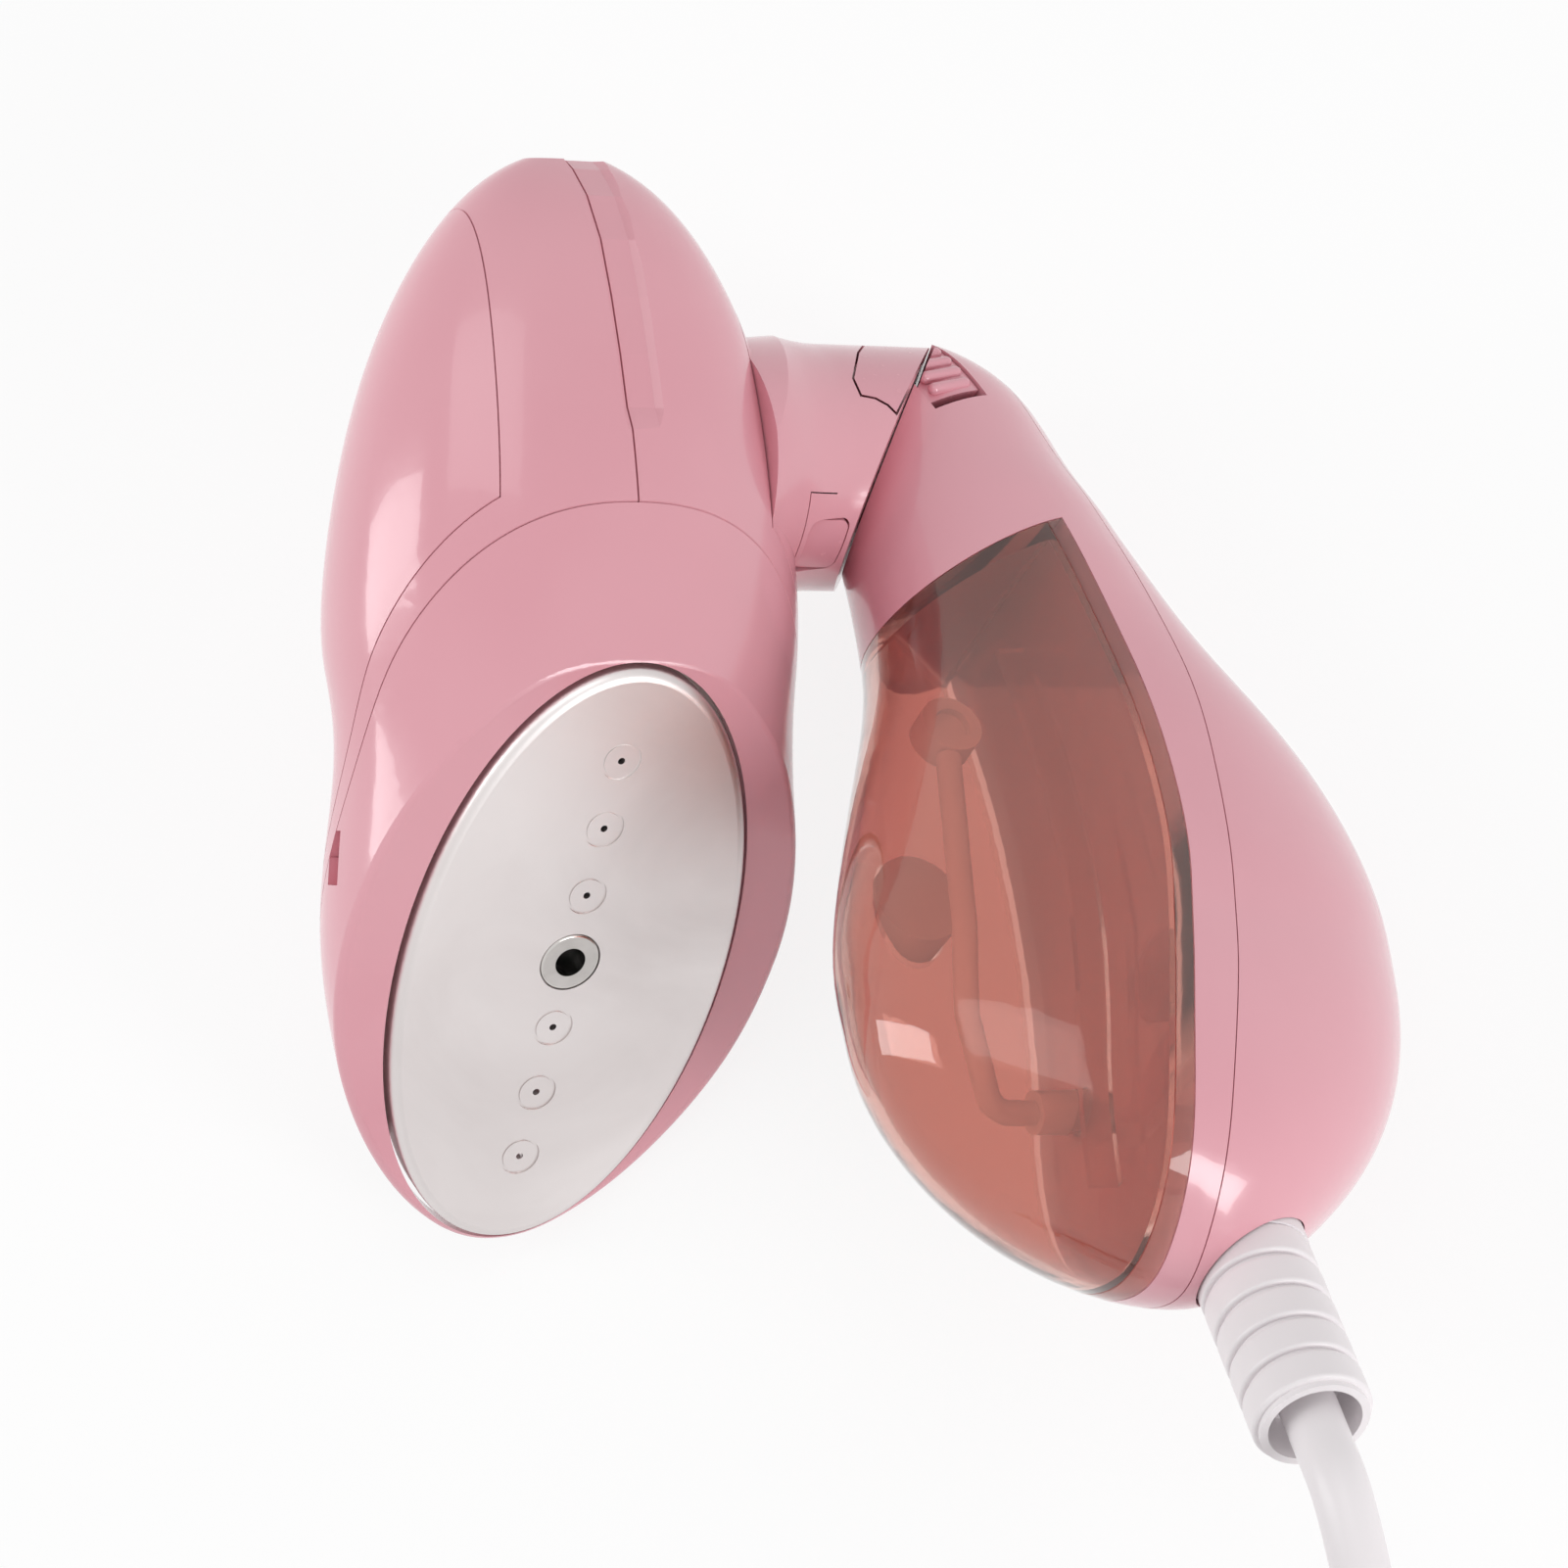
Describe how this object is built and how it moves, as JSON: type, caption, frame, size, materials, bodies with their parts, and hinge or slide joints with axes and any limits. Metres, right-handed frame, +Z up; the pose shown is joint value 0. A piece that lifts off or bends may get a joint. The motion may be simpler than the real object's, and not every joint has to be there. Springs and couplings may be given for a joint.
{
  "type": "folding garment steamer",
  "caption": "Folding travel garment steamer with an oval steel steam plate, a swivel neck, a drop-shaped handle with a clear water tank, and a mains cord.",
  "frame": {"origin": "on the floor under the middle of the steamer, with the steamer lying folded on its side and the cord put away", "axes": "+Z up from the floor, +Y towards the rear of the head as in the picture, +X towards the handle"},
  "size_m": [0.1465, 0.327, 0.0686],
  "materials": {
    "pink_shell": "glossy",
    "pink_trim": "glossy",
    "tank_clear": "clear, tinted rose brown",
    "sole_steel": "satin",
    "nozzle_steel": "polished",
    "heater_metal": "cast",
    "element_metal": "dull",
    "spring_steel": "bright",
    "seal_silicone": "matt",
    "white_plastic": "satin",
    "dark_plastic": "satin",
    "brass_screw": "zinc plated",
    "cord_white": "satin",
    "pin_metal": "nickel plated"
  },
  "bodies": {
    "handle": {"handle_frame": "pink_shell", "handle_back": "pink_shell", "pivot_tube": "white_plastic", "pivot_clip": "spring_steel", "strain_relief": "cord_white", "pump": "dark_plastic", "pump_mount": "seal_silicone", "terminal_block": "white_plastic", "cord_clamp": "white_plastic", "chassis_plate": "white_plastic", "pump_outlet_tube": "seal_silicone", "pump_inlet_tube": "seal_silicone", "tank_seal": "seal_silicone", "cord_run": "cord_white", "cord_coil": "cord_white", "cord_tail": "cord_white", "cord_tie": "dark_plastic", "plug_body": "cord_white", "plug_pins": "pin_metal"},
    "head": {"head_shell_left": "pink_shell", "head_shell_right": "pink_shell", "side_cover": "pink_shell", "neck_housing": "pink_shell", "neck_cover": "pink_shell", "lock_keeper": "pink_trim", "front_ring": "pink_shell", "steam_plate": "sole_steel", "steam_nozzle": "nozzle_steel", "plate_gasket": "seal_silicone", "heater_block": "heater_metal", "heating_element": "element_metal", "thermostat": "element_metal", "thermal_fuse": "white_plastic", "inlet_fitting": "heater_metal", "steam_feed_tube": "seal_silicone", "plate_screws": "brass_screw", "micro_switch": "dark_plastic", "switch_bracket": "white_plastic", "button_spring": "spring_steel"},
    "button": {"steam_button": "pink_trim"},
    "slider": {"lock_slider": "pink_trim"},
    "tank": {"tank_body": "tank_clear", "tank_lid": "tank_clear", "tank_valve": "white_plastic", "pickup_tube": "seal_silicone", "pickup_weight": "element_metal"},
    "filler": {"filler_plug": "seal_silicone"}
  },
  "joints": [
    {"name": "handle_fold", "type": "hinge", "parent": "handle", "child": "head", "pos_m": [-0.00085, 0.05052, 0.01796], "axis": [0.9267, -0.3176, -0.2008], "range_deg": [0, 180]},
    {"name": "button_press", "type": "slide", "parent": "head", "child": "button", "axis": [-0.4477, 0.7956, -0.4082], "range_m": [0, 0.0014], "stiffness_N_per_m": 600, "springref_m": -0.001, "deforming": ["button_spring"]},
    {"name": "lock_slide", "type": "slide", "parent": "handle", "child": "slider", "axis": [0.5064, -0.8571, 0.0946], "range_m": [0, 0.001], "stiffness_N_per_m": 500, "springref_m": -0.001},
    {"name": "tank_removal", "type": "slide", "parent": "handle", "child": "tank", "axis": [0.4858, 0.3742, 0.7899], "range_m": [0, 0.05]},
    {"name": "plug_removal", "type": "slide", "parent": "tank", "child": "filler", "axis": [-0.4858, -0.3742, -0.7899], "range_m": [0, 0.012]}
  ]
}
